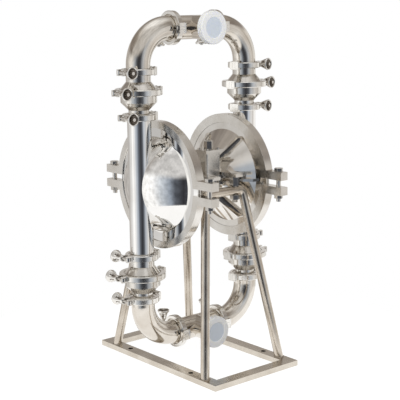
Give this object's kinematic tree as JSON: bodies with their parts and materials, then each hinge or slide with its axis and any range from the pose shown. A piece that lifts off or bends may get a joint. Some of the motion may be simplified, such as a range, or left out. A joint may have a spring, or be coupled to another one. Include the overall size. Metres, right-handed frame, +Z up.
{
  "type": "air operated diaphragm pump",
  "caption": "Hygienic stainless steel air operated double diaphragm pump: two domed chambers with clamped columns, ball check valves and tee manifolds, standing on a welded leg frame.",
  "frame": {"origin": "floor centre under the base", "axes": "+Z up, X along the pump shaft, -Y towards the pipe ports"},
  "size_m": [0.4434, 0.404, 0.7694],
  "materials": {
    "brushed_steel": "brushed stainless bar, slightly warm",
    "polished_steel": "mirror polished stainless steel",
    "satin_steel": "satin machined stainless steel",
    "clamp_steel": "cast stainless clamps, tumbled satin finish",
    "fastener_steel": "bright stainless fasteners",
    "sintered_bronze": "sintered bronze silencer",
    "bush_bronze": "machined bronze",
    "seal_rubber": "white food grade elastomer",
    "ball_ptfe": "white PTFE",
    "cap_plastic": "translucent white polyethylene push-on cap"
  },
  "bodies": {
    "pump": {"base_frame": "brushed_steel", "front_leg_frame": "brushed_steel", "rear_leg_frame": "brushed_steel", "mounting_studs": "fastener_steel", "mounting_nuts": "fastener_steel", "air_valve_screws": "fastener_steel", "chamber_bolts": "fastener_steel", "band_bolts": "fastener_steel", "band_nuts": "fastener_steel", "clamp_swing_bolts": "fastener_steel", "center_block": "satin_steel", "air_valve_body": "satin_steel", "air_valve_cover": "satin_steel", "air_inlet_fitting": "satin_steel", "exhaust_muffler": "sintered_bronze", "shaft_bushes": "bush_bronze", "shaft_seals": "seal_rubber", "left_diaphragm": "seal_rubber", "right_diaphragm": "seal_rubber", "small_gaskets": "seal_rubber", "large_gaskets": "seal_rubber", "left_air_chamber": "polished_steel", "right_air_chamber": "polished_steel", "left_fluid_chamber": "polished_steel", "right_fluid_chamber": "polished_steel", "left_band_upper": "clamp_steel", "left_band_lower": "clamp_steel", "right_band_upper": "clamp_steel", "right_band_lower": "clamp_steel", "small_clamp_halves": "clamp_steel", "large_clamp_halves": "clamp_steel", "clamp_hinge_links": "clamp_steel", "clamp_nuts": "clamp_steel", "outlet_left_bowl": "polished_steel", "outlet_left_cone": "polished_steel", "outlet_left_elbow": "polished_steel", "outlet_right_bowl": "polished_steel", "outlet_right_cone": "polished_steel", "outlet_right_elbow": "polished_steel", "outlet_tee": "polished_steel", "inlet_left_bowl": "polished_steel", "inlet_left_cone": "polished_steel", "inlet_left_elbow": "polished_steel", "inlet_right_bowl": "polished_steel", "inlet_right_cone": "polished_steel", "inlet_right_elbow": "polished_steel", "inlet_tee": "polished_steel"},
    "shaft_set": {"shaft": "satin_steel", "left_inner_plate": "satin_steel", "right_inner_plate": "satin_steel", "left_outer_plate": "satin_steel", "right_outer_plate": "satin_steel"},
    "spool": {"air_valve_spool": "satin_steel"},
    "outlet_cap": {"outlet_cap": "cap_plastic"},
    "inlet_cap": {"inlet_cap": "cap_plastic"},
    "outlet_left_ball": {"outlet_left_ball": "ball_ptfe"},
    "outlet_right_ball": {"outlet_right_ball": "ball_ptfe"},
    "inlet_left_ball": {"inlet_left_ball": "ball_ptfe"},
    "inlet_right_ball": {"inlet_right_ball": "ball_ptfe"}
  },
  "joints": [
    {"name": "shaft_stroke", "type": "slide", "parent": "pump", "child": "shaft_set", "axis": [1, 0, 0], "range_m": [-0.014, 0.014], "deforming": ["left_diaphragm", "right_diaphragm"]},
    {"name": "spool_shift", "type": "slide", "parent": "pump", "child": "spool", "axis": [0, 0, 1], "range_m": [0, 0.016]},
    {"name": "outlet_cap_pull", "type": "slide", "parent": "pump", "child": "outlet_cap", "axis": [0, -1, 0], "range_m": [0, 0.03]},
    {"name": "inlet_cap_pull", "type": "slide", "parent": "pump", "child": "inlet_cap", "axis": [0, -1, 0], "range_m": [0, 0.03]},
    {"name": "outlet_left_ball_lift", "type": "slide", "parent": "pump", "child": "outlet_left_ball", "axis": [0, 0, 1], "range_m": [0, 0.01]},
    {"name": "outlet_right_ball_lift", "type": "slide", "parent": "pump", "child": "outlet_right_ball", "axis": [0, 0, 1], "range_m": [0, 0.01]},
    {"name": "inlet_left_ball_lift", "type": "slide", "parent": "pump", "child": "inlet_left_ball", "axis": [0, 0, 1], "range_m": [0, 0.01]},
    {"name": "inlet_right_ball_lift", "type": "slide", "parent": "pump", "child": "inlet_right_ball", "axis": [0, 0, 1], "range_m": [0, 0.01]}
  ]
}
